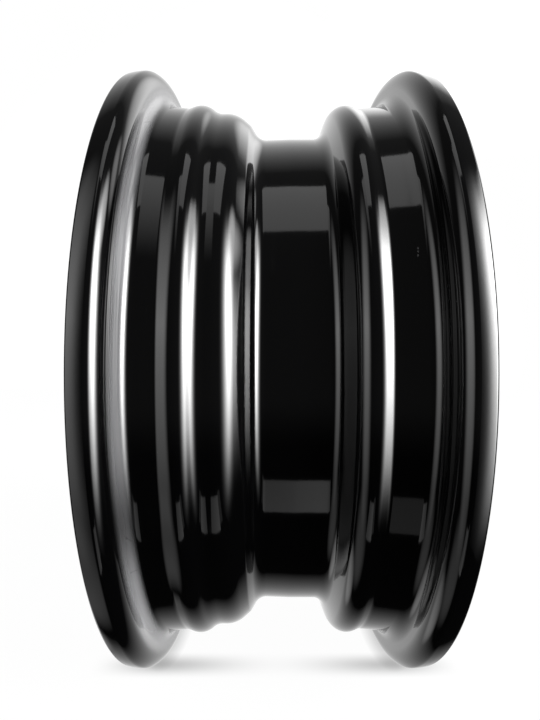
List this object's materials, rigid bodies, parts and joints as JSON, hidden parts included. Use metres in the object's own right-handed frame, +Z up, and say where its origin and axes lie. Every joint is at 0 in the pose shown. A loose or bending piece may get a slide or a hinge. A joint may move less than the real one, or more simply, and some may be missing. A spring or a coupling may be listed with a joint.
{
  "type": "car wheel",
  "caption": "Bare gloss black painted steel car wheel with a drop centre rim and a welded pressed disc, no tyre.",
  "frame": {"origin": "centre of the wheel, on the axle and midway between the two flange faces", "axes": "+Y along the axle, pointing outboard, and +Z up"},
  "size_m": [0.3638, 0.1548, 0.364],
  "materials": {
    "black_paint": "gloss"
  },
  "bodies": {
    "root": {"rim": "black_paint", "disc": "black_paint", "weld_beads": "black_paint"}
  },
  "joints": []
}
